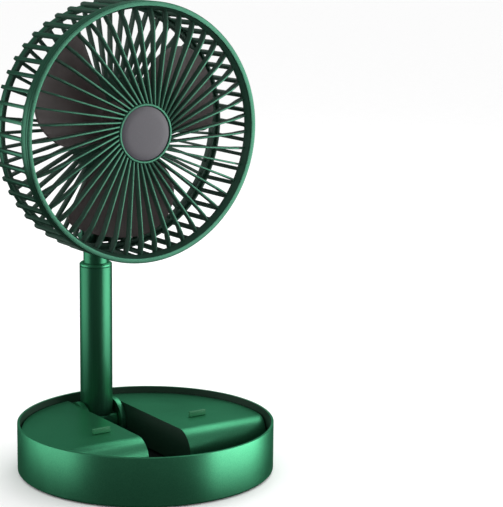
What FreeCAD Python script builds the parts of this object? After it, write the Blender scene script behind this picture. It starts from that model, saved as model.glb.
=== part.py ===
import FreeCAD, Part

import math
import os
import re
import Sketcher
from FreeCAD import Rotation, Vector

# Folding desk fan. Millimetres. The origin is on the floor under the middle of the base, Z is up
# and the fan blows towards -Y. The pole stands at the back of the base and carries the head.

DIMS = {
    # base tub: a round cup with a flange inside its lower edge
    "tub_radius": 95, "tub_wall": 2, "tub_top": 37, "tub_bottom": 0.8, "tub_bevel": 1.2,
    "flange_inner": 87, "flange_bottom": 3, "flange_top": 5,
    "cover_radius": 92.7, "cover_top": 2.8,
    "foot_radius": 8, "foot_circle": 78, "foot_recess": 0.6,
    # the two raised decks with the slot for the pole between them
    "deck_radius": 91.6, "deck_top": 32.15, "deck_bottom": 5.1, "deck_wall": 2, "deck_front": 34.7,
    "deck_roll": 16, "slot_half": 17.45, "floor_top": 4, "floor_radius": 86.7,
    "boss_radius": 3.5, "boss_bore": 1.1,
    # rest pads that stand on the decks
    "pad_width": 14.4, "pad_thick": 2, "pad_top": 36.2,
    "left_pad_at": 37.5, "right_pad_at": 46.6, "left_pad_face": -0.4, "right_pad_face": 1.8,
    # hinge at the foot of the pole
    "hinge_back": 76, "hinge_height": 17, "ear_radius": 16.9, "ear_inner": 12.9, "ear_outer": 17.2,
    "pin_radius": 3, "pin_fit": 0.04, "knuckle_half": 12, "knuckle_radius": 12.3,
    # telescopic pole, from the outer tube to the thinnest
    "pole_radius": 12.5, "pole_wall": 1.5, "pole_foot": 24, "pole_top": 140.6, "collar_top": 143.4,
    "second_radius": 9.5, "second_wall": 1.2, "second_foot": 33, "second_top": 155.4,
    "third_radius": 7.2, "third_wall": 1, "third_foot": 35, "third_top": 158,
    "fourth_radius": 5.2, "fourth_wall": 1, "fourth_foot": 37, "fourth_top": 167,
    "slide_fit": 0.05, "bush_length": 11, "glide_length": 10,
    # hinge that carries the head
    "neck_height": 171.7, "tongue_half": 7.4, "tongue_radius": 10, "lug_inner": 8,
    "lug_outer": 12.4, "lug_radius": 10.5, "neck_pin_radius": 2.5,
    # head: a round cage, measured back from its front plane
    "head_height": 250.4, "head_radius": 95, "ring_inner": 91.2, "ring_depth": 3, "band_depth": 9.95,
    "cage_depth": 54.9, "rib_count": 52, "rib_width": 2.7, "rib_inner": 91.7, "spoke_thick": 1.9,
    "back_ring": 93.05, "back_ring_start": 45.5, "back_ring_end": 52.5,
    "vane_count": 45, "vane_offset": 8.3, "vane_thick": 1.5, "vane_turn": 2.6,
    "hub_inner": 20, "hub_outer": 21.8, "grille_depth": 6,
    "plate_radius": 36, "plate_front": 49.5, "back_cap_radius": 33, "back_cap_end": 56.4,
    # rotor and motor
    "rotor_front": 13, "rotor_back": 41, "rotor_hub": 21, "rotor_hub_wall": 1.7,
    "tip_radius": 80.5, "blade_span": 80, "blade_turn": 34, "blade_thick": 1.8, "blade_rise": 22,
    "blade_corner": 8, "blade_sweep": 30,
    "shaft_radius": 1.5, "stator_radius": 16.5, "motor_front": 19, "motor_back": 46,
    # electronics at the back of the base
    "cell_radius": 10.6, "cell_start": -26, "cell_end": 44, "cell_height": 16.5,
    "port_turn": -35, "button_turn": -65, "lamp_turn": -50, "port_height": 17,
    "button_radius": 5.3, "button_bore": 5.7, "button_proud": 0.6, "button_length": 5.6,
}

doc = FreeCAD.newDocument("desk_fan")
sheet = doc.addObject("Spreadsheet::Sheet", "dims")
for row, (alias, size) in enumerate(DIMS.items(), start=1):
    sheet.set(f"A{row}", alias)
    sheet.set(f"B{row}", str(size))
    sheet.setAlias(f"B{row}", alias)
doc.recompute()

WORD = re.compile(r"[a-z][a-z_]+")
AXIS_TURN = {
    "x": Rotation(Vector(0, 1, 0), 90),
    "y": Rotation(Vector(1, 0, 0), -90),
    "z": Rotation(),
}
nodes = []


# --- helpers -------------------------------------------------------------------------------------

def bound(text):
    """An expression with each of the sheet's words given its full name."""
    return WORD.sub(lambda m: "dims." + m.group() if m.group() in DIMS else m.group(), text)


def number(text):
    """What an expression is worth now."""
    return float(sheet.evalExpression(bound(text)))


def drive(thing, where, text):
    thing.setExpression(where, bound(text))


def seat(thing, x, y, z, own=None, turn=None):
    """Puts a shape at x, y, z, then swings it about the base's Z axis by the sheet's word turn."""
    own = own or Rotation()
    if turn:
        swing = Rotation(Vector(0, 0, 1), number(turn))
        thing.Placement = FreeCAD.Placement(Vector(), swing.multiply(own))
        drive(thing, "Placement.Base.x", f"({x}) * cos({turn}) - ({y}) * sin({turn})")
        drive(thing, "Placement.Base.y", f"({x}) * sin({turn}) + ({y}) * cos({turn})")
    else:
        thing.Placement = FreeCAD.Placement(Vector(), own)
        drive(thing, "Placement.Base.x", x)
        drive(thing, "Placement.Base.y", y)
    drive(thing, "Placement.Base.z", z)
    return thing


def rod(name, axis, radius, start, end, across, turn=None):
    """A cylinder along an axis from start to end; across holds its other two coordinates."""
    thing = doc.addObject("Part::Cylinder", name)
    drive(thing, "Radius", radius)
    drive(thing, "Height", f"({end}) - ({start})")
    first, second = across
    spots = {
        "x": (start, first, second),
        "y": (first, start, second),
        "z": (first, second, start),
    }
    return seat(thing, *spots[axis], own=AXIS_TURN[axis], turn=turn)


def block(name, low, high, turn=None):
    """A box between two corners, each three expressions."""
    thing = doc.addObject("Part::Box", name)
    for side, a, b in zip(("Length", "Width", "Height"), low, high):
        drive(thing, side, f"({b}) - ({a})")
    return seat(thing, *low, turn=turn)


def joined(name, *shapes):
    thing = doc.addObject("Part::MultiFuse", name)
    thing.Shapes = list(shapes)
    thing.Refine = True
    return thing


def less(name, base, *tools):
    thing = doc.addObject("Part::Cut", name)
    thing.Base = base
    thing.Tool = tools[0] if len(tools) == 1 else joined(name + "_tools", *tools)
    thing.Refine = True
    return thing


def common(name, *shapes):
    thing = doc.addObject("Part::MultiCommon", name)
    thing.Shapes = list(shapes)
    return thing


def group(name, *shapes):
    thing = doc.addObject("Part::Compound", name)
    thing.Links = list(shapes)
    return thing


def node(label, thing):
    """Names a finished piece and keeps it for the checks and the export."""
    thing.Label = label
    nodes.append(thing)
    return thing


def plane(body, role):
    return next(o for o in body.Origin.OriginFeatures if o.Role == role)


def outline(body, name, role, points, offset=None):
    """A closed outline of straight lines in one of a body's planes, every corner tied to the sheet."""
    sketch = body.newObject("Sketcher::SketchObject", name)
    sketch.AttachmentSupport = [(plane(body, role), "")]
    sketch.MapMode = "FlatFace"
    if offset:
        drive(sketch, "AttachmentOffset.Base.z", offset)
    corners = [Vector(number(u), number(v), 0) for u, v in points]
    count = len(corners)
    for i in range(count):
        sketch.addGeometry(Part.LineSegment(corners[i], corners[(i + 1) % count]), False)
    for i in range(count):
        sketch.addConstraint(Sketcher.Constraint("Coincident", i, 2, (i + 1) % count, 1))
    for i, (u, v) in enumerate(points):
        for kind, text, at in (("DistanceX", u, corners[i].x), ("DistanceY", v, corners[i].y)):
            which = sketch.addConstraint(Sketcher.Constraint(kind, -1, 1, i, 1, at))
            drive(sketch, f"Constraints[{which}]", text)
    return sketch


def turned(name, points, x="0", y="0"):
    """A piece turned about an upright axis: its half section is given as radius and height."""
    body = doc.addObject("PartDesign::Body", name)
    spin(body, points)
    return seat(body, x, y, "0")


def spin(body, points):
    """Adds a turned solid to a body, about the body's own Z axis."""
    sketch = outline(body, body.Name + "_half_section", "XZ_Plane", points)
    thing = body.newObject("PartDesign::Revolution", body.Name + "_turned")
    thing.Profile = sketch
    thing.ReferenceAxis = (sketch, ["V_Axis"])
    thing.Angle = 360
    sketch.Visibility = False
    return thing


def plate(body, points, thick, role="XZ_Plane", offset=None, both_ways=True):
    """Adds a flat piece to a body: an outline made thick, half to each side of its plane."""
    sketch = outline(body, body.Name + "_outline", role, points, offset)
    thing = body.newObject("PartDesign::Pad", body.Name + "_plate")
    thing.Profile = sketch
    thing.SideType = "Symmetric" if both_ways else "One side"
    drive(thing, "Length", thick)
    sketch.Visibility = False
    return thing


def ringed(body, features, count):
    """Repeats features of a body evenly about its Z axis."""
    pattern = body.newObject("PartDesign::PolarPattern", body.Name + "_pattern")
    pattern.Originals = features
    pattern.Axis = (plane(body, "Z_Axis"), [""])
    pattern.Angle = 360
    drive(pattern, "Occurrences", count)
    body.Tip = pattern
    return pattern


def in_head(thing, turn=None):
    """Stands a piece up in the head: its Z axis points forward out of the front plane."""
    stand = Rotation(Vector(1, 0, 0), 90)
    if turn:
        stand = stand.multiply(Rotation(Vector(0, 0, 1), number(turn)))
    return seat(thing, "0", "0", "head_height", own=stand)


def tube(name, radius, wall, foot, top, y="hinge_back"):
    """A round tube with both ends slightly bevelled."""
    return turned(name, [
        (f"{radius} - {wall}", foot), (f"{radius} - 0.3", foot), (radius, f"{foot} + 0.3"),
        (radius, f"{top} - 0.3"), (f"{radius} - 0.3", top), (f"{radius} - {wall}", top),
    ], y=y)


# --- base: tub, cover, feet, floor ----------------------------------------------------------------

tub = turned("tub", [
    ("flange_inner", "flange_bottom"), ("tub_radius - tub_wall", "flange_bottom"),
    ("tub_radius - tub_wall", "tub_bottom"), ("tub_radius - tub_bevel", "tub_bottom"),
    ("tub_radius", "tub_bottom + tub_bevel"), ("tub_radius", "tub_top - 0.5"),
    ("tub_radius - 0.5", "tub_top"), ("tub_radius - tub_wall + 0.4", "tub_top"),
    ("tub_radius - tub_wall", "tub_top - 0.4"), ("tub_radius - tub_wall", "flange_top"),
    ("flange_inner", "flange_top"),
])
wall_in = "tub_radius - tub_wall"
port_hole = block("port_hole", ("-4.9", "tub_radius - 8", "port_height - 2"),
                  ("4.9", "tub_radius + 2", "port_height + 2"), turn="port_turn")
button_hole = rod("button_hole", "y", "button_bore", "tub_radius - 8", "tub_radius + 2",
                  ("0", "port_height"), turn="button_turn")
lamp_holes = [
    rod(f"lamp_hole_{i}", "y", "1.05", "tub_radius - 4", "tub_radius + 1",
        (str(5 * i - 7.5), "port_height"), turn="lamp_turn")
    for i in range(4)
]
base_shell = node("base_shell", less("base_shell", tub, port_hole, button_hole, *lamp_holes))

BOSSES = [("30", "76"), ("70", "-21")]
screw_spots = [(sign + x, y) for sign in ("", "-") for x, y in BOSSES]
feet_at = [(math.cos(math.radians(a)), math.sin(math.radians(a))) for a in (45, 135, 225, 315)]
foot_spots = [(f"{cx:.6f} * foot_circle", f"{cy:.6f} * foot_circle") for cx, cy in feet_at]
ear_spots = [(sign + "15", str(dy)) for sign in ("", "-") for dy in (66, 82)]

cover_disc = rod("cover_disc", "z", "cover_radius", "tub_bottom", "cover_top", ("0", "0"))
cover_cuts = [
    rod(f"foot_recess_{i}", "z", "foot_radius + 0.1", "tub_bottom - 1", "tub_bottom + foot_recess",
        spot)
    for i, spot in enumerate(foot_spots)
]
for i, spot in enumerate(screw_spots + ear_spots):
    cover_cuts.append(rod(f"cover_bore_{i}", "z", "1.4", "0", "cover_top + 1", spot))
    cover_cuts.append(rod(f"cover_sink_{i}", "z", "2.7", "0", "tub_bottom + 1.1", spot))
bottom_cover = node("bottom_cover", less("bottom_cover", cover_disc, *cover_cuts))

foot_pads = node("foot_pads", group("foot_pads", *[
    turned(f"foot_{i}", [
        ("0", "0"), ("foot_radius - 0.6", "0"), ("foot_radius", "0.5"),
        ("foot_radius", "tub_bottom + foot_recess - 0.02"), ("0", "tub_bottom + foot_recess - 0.02"),
    ], *spot)
    for i, spot in enumerate(foot_spots)
]))


def screw(name, head_radius, head_end, stem_radius, stem_end, spot, low):
    """A small pan-head screw standing on its head, with a cross-shaped drive recess."""
    body = turned(name + "_blank", [
        ("0", low), (head_radius + " - 0.4", low), (head_radius, f"{low} + 0.4"),
        (head_radius, head_end), (stem_radius, head_end), (stem_radius, f"{stem_end} - 0.5"),
        (f"{stem_radius} - 0.4", stem_end), ("0", stem_end),
    ], *spot)
    x, y = spot
    slots = [
        block(f"{name}_slot_{k}", (f"{x} - {a}", f"{y} - {b}", f"{low} - 1"),
              (f"{x} + {a}", f"{y} + {b}", f"{low} + 0.6"))
        for k, (a, b) in enumerate((("1.3", "0.3"), ("0.3", "1.3")))
    ]
    return less(name, body, *slots)


bottom_screws = node("bottom_screws", group("bottom_screws", *[
    screw(f"bottom_screw_{i}", "2.5", "tub_bottom + 1.08", "1.05", "11", spot, "tub_bottom + 0.1")
    for i, spot in enumerate(screw_spots)
]))
ear_screws = node("hinge_ear_screws", group("hinge_ear_screws", *[
    screw(f"ear_screw_{i}", "2.5", "tub_bottom + 1.08", "1.05", "9", spot, "tub_bottom + 0.1")
    for i, spot in enumerate(ear_spots)
]))

floor_disc = rod("floor_disc", "z", "floor_radius", "cover_top + 0.1", "floor_top", ("0", "0"))
floor_slot = block("floor_slot", ("-slot_half + 0.3", "-100", "0"), ("slot_half - 0.3", "100", "10"))
floor_well = block("floor_well", ("-100", "-100", "0"), ("100", "-deck_front", "10"))
floor_shape = common("floor_shape", floor_disc, joined("floor_area", floor_slot, floor_well))
trough_floor = node("trough_floor", less("trough_floor", floor_shape, *[
    rod(f"floor_bore_{i}", "z", "1.4", "0", "10", spot) for i, spot in enumerate(ear_spots)
]))


# --- decks ----------------------------------------------------------------------------------------

def deck_block(name, side, inset, low):
    """A deck's solid form: a flat round segment whose front edge rolls down. Inset shrinks it."""
    disc = rod(name + "_disc", "z", f"deck_radius - {inset}", low, "deck_top + 1", ("0", "0"))
    body = doc.addObject("PartDesign::Body", name + "_profile")
    steps = 8
    roll = f"(deck_roll - {inset})"
    centre = ("-deck_front + deck_roll", "deck_top - deck_roll")
    points = [("100", low), (f"-deck_front + {inset}", low)]
    for i in range(steps + 1):
        a = 90 * i / steps
        points.append((f"{centre[0]} - {roll} * cos({a})", f"{centre[1]} + {roll} * sin({a})"))
    points.append(("100", f"deck_top - {inset}"))
    plate(body, points, f"100 - slot_half - {inset}", role="YZ_Plane",
          offset=f"slot_half + {inset}", both_ways=False)
    if side < 0:
        flip = doc.addObject("Part::Mirroring", name + "_flip")
        flip.Source = body
        flip.Normal = Vector(1, 0, 0)
        body = flip
    return common(name, disc, body)


def deck(side, word):
    """One deck: a moulded shell, open below, with screw bosses and gaps for the parts in the wall."""
    sign = "" if side > 0 else "-"
    outer = deck_block(word + "_deck_outer", side, "0", "deck_bottom")
    inner = deck_block(word + "_deck_inner", side, "deck_wall", "deck_bottom - 1")
    hollow = less(word + "_deck_hollow", outer, inner)
    bosses = [
        rod(f"{word}_boss_{i}", "z", "boss_radius", "cover_top + 0.1", "deck_top - deck_wall + 0.5",
            (sign + x, y))
        for i, (x, y) in enumerate(BOSSES)
    ]
    bores = [
        rod(f"{word}_boss_bore_{i}", "z", "boss_bore", "0", "12", (sign + x, y))
        for i, (x, y) in enumerate(BOSSES)
    ]
    cuts = bores
    if side > 0:
        cuts += [
            block("deck_port_gap", ("-5.6", "deck_radius - 5", "port_height - 4"),
                  ("5.6", "deck_radius + 5", "port_height + 3"), turn="port_turn"),
            rod("deck_button_gap", "y", "7.2", "deck_radius - 5", "deck_radius + 5",
                ("0", "port_height"), turn="button_turn"),
        ]
    return less(word + "_deck", joined(word + "_deck_body", hollow, *bosses), *cuts)


node("left_deck", deck(-1, "left"))
node("right_deck", deck(1, "right"))
for word, sign in (("left", "-"), ("right", "")):
    low_x = f"{sign}{word}_pad_at - pad_width / 2"
    pad = block(word + "_pad", (low_x, f"{word}_pad_face", "deck_top + 0.02"),
                (f"{low_x} + pad_width", f"{word}_pad_face + pad_thick", "pad_top"))
    soft = doc.addObject("Part::Fillet", word + "_rest_pad")
    soft.Base = pad
    soft.Edges = [(i, 0.35, 0.35) for i in (2, 4, 6, 8, 10, 12)]
    node(word + "_rest_pad", soft)


# --- batteries and board under the decks ----------------------------------------------------------

cells_x = ("-55.2", "-32.4", "32.4", "55.2")
node("battery_cells", group("battery_cells", *[
    joined(f"cell_{i}",
           rod(f"cell_can_{i}", "y", "cell_radius", "cell_start", "cell_end - 0.8",
               (x, "cell_height")),
           rod(f"cell_cap_{i}", "y", "3.4", "cell_end - 1", "cell_end", (x, "cell_height")))
    for i, x in enumerate(cells_x)
]))
holders = []
for word, x_low, x_high, pair in (("left", "-66", "-20.2", cells_x[:2]),
                                  ("right", "20.2", "66", cells_x[2:])):
    cradle = block(word + "_cradle", (x_low, "cell_start - 2", "cover_top + 0.1"),
                   (x_high, "cell_end + 2", "cell_height - 3"))
    beds = [
        rod(f"{word}_bed_{i}", "y", "cell_radius + 0.1", "cell_start - 0.1", "cell_end + 0.1",
            (x, "cell_height"))
        for i, x in enumerate(pair)
    ]
    holders.append(less(word + "_holder", cradle, *beds))
node("battery_holders", group("battery_holders", *holders))

board = block("board_plate", ("-11.5", "69", "port_height - 4.2"), ("11.5", "86", "port_height - 2.6"),
              turn="port_turn")
board_legs = [
    rod(f"board_leg_{i}", "z", "2", "cover_top + 0.1", "port_height - 4", (x, y), turn="port_turn")
    for i, (x, y) in enumerate((("-8.5", "72"), ("8.5", "72"), ("-8.5", "83"), ("8.5", "83")))
]
chips = [
    block(f"chip_{i}", (f"{x} - {a}", f"{y} - {a}", "port_height - 2.7"),
          (f"{x} + {a}", f"{y} + {a}", "port_height - 1.2"), turn="port_turn")
    for i, (x, y, a) in enumerate((("-5", "75", "3"), ("5", "73", "2"), ("3", "78", "1.5")))
]
node("control_board", joined("control_board", board, *board_legs, *chips))

socket_shell = block("socket_shell", ("-4.5", "tub_radius - 8.4", "port_height - 1.65"),
                     ("4.5", "tub_radius - 0.8", "port_height + 1.65"), turn="port_turn")
socket_mouth = block("socket_mouth", ("-4.15", "tub_radius - 7.6", "port_height - 1.3"),
                     ("4.15", "tub_radius", "port_height + 1.3"), turn="port_turn")
socket_tongue = block("socket_tongue", ("-3.3", "tub_radius - 8", "port_height - 0.35"),
                      ("3.3", "tub_radius - 2", "port_height + 0.35"), turn="port_turn")
socket_legs = block("socket_legs", ("-4.5", "tub_radius - 10.5", "port_height - 2.58"),
                    ("4.5", "tub_radius - 8.2", "port_height + 1.2"), turn="port_turn")
node("usb_socket", joined("usb_socket", less("socket_can", socket_shell, socket_mouth),
                          socket_tongue, socket_legs))
node("indicator_lenses", group("indicator_lenses", *[
    rod(f"lens_{i}", "y", "0.95", "tub_radius - 3.2", "tub_radius - 0.35",
        (str(5 * i - 7.5), "port_height"), turn="lamp_turn")
    for i in range(4)
]))

# Power button in the tub's wall, and the switch behind it on a bracket of its own.
button_face = "tub_radius + button_proud"
cap = rod("button_cap", "y", "button_radius", f"{button_face} - button_length", button_face,
          ("0", "port_height"), turn="button_turn")
lip = rod("button_lip", "y", "6.4", "tub_radius - 3.5", "tub_radius - 2.6", ("0", "port_height"),
          turn="button_turn")
stem = rod("button_stem", "y", "2", "tub_radius - 11.5", "tub_radius - 4", ("0", "port_height"),
           turn="button_turn")
node("power_button", joined("power_button", cap, lip, stem))
switch = block("switch_can", ("-3", "79", "port_height - 3"), ("3", "81.8", "port_height + 3"),
               turn="button_turn")
plunger = rod("switch_plunger", "y", "1.6", "81.5", "82.2", ("0", "port_height"), turn="button_turn")
node("tact_switch", joined("tact_switch", switch, plunger))
guide_plate = block("guide_plate", ("-5", "77.5", "cover_top + 0.1"), ("5", "79", "port_height + 5"),
                    turn="button_turn")
guide_foot = block("guide_foot", ("-5", "77.5", "cover_top + 0.1"), ("5", "84", "cover_top + 2"),
                   turn="button_turn")
node("switch_bracket", joined("switch_bracket", guide_plate, guide_foot))


# --- hinge at the foot of the pole ----------------------------------------------------------------

def ear(word, x_low, x_high, recess):
    """A round-topped cheek beside the pole, trimmed to the tub and to its flange."""
    disc = rod(word + "_ear_disc", "x", "ear_radius", x_low, x_high, ("hinge_back", "hinge_height"))
    foot = block(word + "_ear_foot", (x_low, "hinge_back - 14", "floor_top + 0.05"),
                 (x_high, "hinge_back + 9", "hinge_height"))
    room = less(word + "_ear_room",
                rod(word + "_ear_bound", "z", "tub_radius - tub_wall - 0.4", "floor_top + 0.05",
                    "tub_top", ("0", "0")),
                less(word + "_ear_ledge",
                     rod(word + "_ledge_all", "z", "100", "0", "flange_top + 0.1", ("0", "0")),
                     rod(word + "_ledge_in", "z", "flange_inner - 0.2", "-1", "50", ("0", "0"))))
    body = common(word + "_ear_body", joined(word + "_ear_all", disc, foot), room)
    bore = rod(word + "_ear_bore", "x", "pin_radius + pin_fit", "-30", "30",
               ("hinge_back", "hinge_height"))
    holes = [
        rod(f"{word}_ear_hole_{i}", "z", "1.1", "0", "10.5", (x, y))
        for i, (x, y) in enumerate(ear_spots)
        if (x[0] == "-") == (word == "left")
    ]
    return less(word + "_hinge_ear", body, bore, recess, *holes)


pin_at = ("hinge_back", "hinge_height")
nut_seat = doc.addObject("Part::Prism", "nut_seat")
nut_seat.Polygon = 6
drive(nut_seat, "Circumradius", "5.3")
drive(nut_seat, "Height", "4")
seat(nut_seat, "-ear_outer - 1.4", *pin_at, own=AXIS_TURN["x"])
head_seat = rod("pin_head_seat", "x", "4.8", "ear_outer - 2.6", "ear_outer + 1", pin_at)
node("left_hinge_ear", ear("left", "-ear_outer", "-ear_inner", nut_seat))
node("right_hinge_ear", ear("right", "ear_inner", "ear_outer", head_seat))

pin_blank = joined(
    "pin_blank",
    rod("pin_stem", "x", "pin_radius", "-ear_outer + 0.3", "ear_outer - 2.5", pin_at),
    rod("pin_head", "x", "4.7", "ear_outer - 2.5", "ear_outer - 0.2", pin_at))
pin_socket = doc.addObject("Part::Prism", "pin_socket")
pin_socket.Polygon = 6
drive(pin_socket, "Circumradius", "1.7")
drive(pin_socket, "Height", "4")
seat(pin_socket, "ear_outer - 1.9", *pin_at, own=AXIS_TURN["x"])
node("base_hinge_pin", less("base_hinge_pin", pin_blank, pin_socket))
nut = doc.addObject("Part::Prism", "nut_blank")
nut.Polygon = 6
drive(nut, "Circumradius", "5.2")
drive(nut, "Height", "2.2")
seat(nut, "-ear_outer + 0.25", *pin_at, own=AXIS_TURN["x"])
node("base_hinge_nut", less("base_hinge_nut", nut,
                            rod("nut_bore", "x", "pin_radius + 0.01", "-30", "0", pin_at)))


def washer(name, outer, inner, low, high, spot):
    return less(name, rod(name + "_disc", "x", outer, low, high, spot),
                rod(name + "_bore", "x", inner, f"{low} - 1", f"{high} + 1", spot))


node("base_friction_washers", group(
    "base_friction_washers",
    washer("base_washer_right", "6.5", "pin_radius + 0.05", "knuckle_half + 0.05",
           "ear_inner - 0.05", pin_at),
    washer("base_washer_left", "6.5", "pin_radius + 0.05", "-ear_inner + 0.05",
           "-knuckle_half - 0.05", pin_at)))


# --- telescopic pole ------------------------------------------------------------------------------

barrel = rod("barrel", "x", "knuckle_radius", "-knuckle_half", "knuckle_half", pin_at)
cheeks = block("cheeks", ("-knuckle_half", "hinge_back - 20", "hinge_height"),
               ("knuckle_half", "hinge_back + 20", "pole_foot - 0.1"))
stub = common("stub", cheeks, rod("stub_round", "z", "pole_radius - 0.1", "hinge_height",
                                  "pole_foot - 0.1", ("0", "hinge_back")))
seat_cut = rod("seat_cut", "z", "2 * pole_radius", "pole_foot - 0.1", "tub_top", ("0", "hinge_back"))
plug = rod("plug", "z", "pole_radius - pole_wall - 0.05", "hinge_height", "pole_foot + 8",
           ("0", "hinge_back"))
node("pole_knuckle", less(
    "pole_knuckle",
    joined("knuckle_body", less("knuckle_low", joined("knuckle_round", barrel, stub), seat_cut), plug),
    rod("knuckle_bore", "x", "pin_radius + pin_fit", "-20", "20", pin_at)))
node("outer_tube", tube("outer_tube", "pole_radius", "pole_wall", "pole_foot", "pole_top"))


def collar(label, tube_radius, wall, seat_at, top, inner):
    """An end collar: a visible cap with a bevelled top and a bush that guides the next tube."""
    return node(label, turned(label, [
        (f"{inner} + slide_fit", f"{seat_at} - bush_length"),
        (f"{tube_radius} - {wall} - 0.03", f"{seat_at} - bush_length"),
        (f"{tube_radius} - {wall} - 0.03", f"{seat_at} + 0.05"),
        (tube_radius, f"{seat_at} + 0.05"), (tube_radius, f"{top} - 0.9"),
        (f"{tube_radius} - 0.9", top), (f"{inner} + slide_fit", top),
    ], y="hinge_back"))


def glide(label, outside, outside_wall, radius, wall, foot):
    """A sleeve on a tube's lower end that slides in the tube around it."""
    return node(label, turned(label, [
        (f"{radius} + 0.02", foot), (f"{outside} - {outside_wall} - slide_fit", foot),
        (f"{outside} - {outside_wall} - slide_fit", f"{foot} + glide_length"),
        (f"{radius} + 0.02", f"{foot} + glide_length"),
    ], y="hinge_back"))


collar("outer_collar", "pole_radius", "pole_wall", "pole_top", "collar_top", "second_radius")
node("second_tube", tube("second_tube", "second_radius", "second_wall", "second_foot",
                         "second_top - 2"))
glide("second_glide", "pole_radius", "pole_wall", "second_radius", "second_wall", "second_foot")
collar("second_collar", "second_radius", "second_wall", "second_top - 2", "second_top",
       "third_radius")
node("third_tube", tube("third_tube", "third_radius", "third_wall", "third_foot", "third_top - 1.6"))
glide("third_glide", "second_radius", "second_wall", "third_radius", "third_wall", "third_foot")
collar("third_collar", "third_radius", "third_wall", "third_top - 1.6", "third_top",
       "fourth_radius")
node("top_tube", tube("top_tube", "fourth_radius", "fourth_wall", "fourth_foot", "fourth_top - 3"))
glide("top_glide", "third_radius", "third_wall", "fourth_radius", "fourth_wall", "fourth_foot")

neck_at = ("hinge_back", "neck_height")
tongue = rod("tongue", "x", "tongue_radius", "-tongue_half", "tongue_half", neck_at)
socket = rod("neck_socket", "z", "7.3", "third_top + 2.2", "neck_height", ("0", "hinge_back"))
node("top_knuckle", less(
    "top_knuckle", joined("top_knuckle_body", tongue, socket),
    rod("neck_bore", "x", "neck_pin_radius + pin_fit", "-20", "20", neck_at),
    rod("tube_socket", "z", "fourth_radius + 0.02", "third_top", "fourth_top - 2.9",
        ("0", "hinge_back"))))


# --- head hinge -----------------------------------------------------------------------------------

bolt = joined("bolt", rod("bolt_stem", "x", "neck_pin_radius", "-lug_outer - 2.2", "lug_outer + 0.3",
                          neck_at),
              rod("bolt_head", "x", "4.6", "lug_outer + 0.1", "lug_outer + 2.6", neck_at))
bolt_socket = doc.addObject("Part::Prism", "bolt_socket")
bolt_socket.Polygon = 6
drive(bolt_socket, "Circumradius", "1.6")
drive(bolt_socket, "Height", "3")
seat(bolt_socket, "lug_outer + 1", *neck_at, own=AXIS_TURN["x"])
node("head_hinge_pin", less("head_hinge_pin", bolt, bolt_socket))
neck_nut = doc.addObject("Part::Prism", "neck_nut_blank")
neck_nut.Polygon = 6
drive(neck_nut, "Circumradius", "4.6")
drive(neck_nut, "Height", "2.3")
seat(neck_nut, "-lug_outer - 2.4", *neck_at, own=AXIS_TURN["x"])
node("head_hinge_nut", less("head_hinge_nut", neck_nut,
                            rod("neck_nut_bore", "x", "neck_pin_radius + 0.01", "-30", "0",
                                neck_at)))
node("head_friction_washers", group(
    "head_friction_washers",
    washer("neck_washer_right", "6.5", "neck_pin_radius + 0.02", "tongue_half + 0.05",
           "lug_inner - 0.05", neck_at),
    washer("neck_washer_left", "6.5", "neck_pin_radius + 0.02", "-lug_inner + 0.05",
           "-tongue_half - 0.05", neck_at)))

# Bracket: a pad on the back of the cage and two lugs that reach back to the hinge bolt.
pad_front = "cage_depth + 0.1"
pad_back = "cage_depth + 2.6"
pad_low = "neck_height - 9"
pad_high = "neck_height + 17"
bracket_pad = doc.addObject("PartDesign::Body", "bracket_pad")
plate(bracket_pad, [
    ("-23", f"{pad_low} + 7"), ("-16", pad_low), ("16", pad_low), ("23", f"{pad_low} + 7"),
    ("23", f"{pad_high} - 7"), ("16", pad_high), ("-16", pad_high), ("-23", f"{pad_high} - 7"),
], f"{pad_back} - ({pad_front})", offset=f"-({pad_back})", both_ways=False)
lugs = []
for word, low_x, high_x in (("left", "-lug_outer", "-lug_inner"),
                            ("right", "lug_inner", "lug_outer")):
    lug_disc = rod(word + "_lug_disc", "x", "lug_radius", low_x, high_x, neck_at)
    arm = doc.addObject("PartDesign::Body", word + "_arm")
    plate(arm, [
        ("hinge_back", "neck_height - lug_radius"), ("hinge_back", "neck_height + lug_radius"),
        ("cage_depth + 4", "neck_height + 16"), (pad_front, "neck_height + 16"),
        (pad_front, "neck_height - 8"), ("cage_depth + 4", "neck_height - 8"),
    ], "lug_outer - lug_inner", role="YZ_Plane", offset=low_x, both_ways=False)
    lugs += [lug_disc, arm]
bracket_holes = [
    (f"{side} {reach} * sin(720 / rib_count)", f"head_height - {reach} * cos(720 / rib_count)")
    for side in ("-", "") for reach in (68, 81)
]
node("head_bracket", less(
    "head_bracket", joined("bracket_body", bracket_pad, *lugs),
    rod("bracket_bore", "x", "neck_pin_radius + pin_fit", "-20", "20", neck_at),
    *[rod(f"bracket_hole_{i}", "y", "1.25", "cage_depth - 1", "cage_depth + 9", spot)
      for i, spot in enumerate(bracket_holes)]))
node("bracket_screws", group("bracket_screws", *[
    joined(f"bracket_screw_{i}",
           rod(f"bracket_stem_{i}", "y", "1.2", "cage_depth - 4", "cage_depth + 2.7", spot),
           rod(f"bracket_head_{i}", "y", "2.1", "cage_depth + 2.65", "cage_depth + 4", spot))
    for i, spot in enumerate(bracket_holes)
]))


# --- head: front grille, rear cage, caps ----------------------------------------------------------

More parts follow.
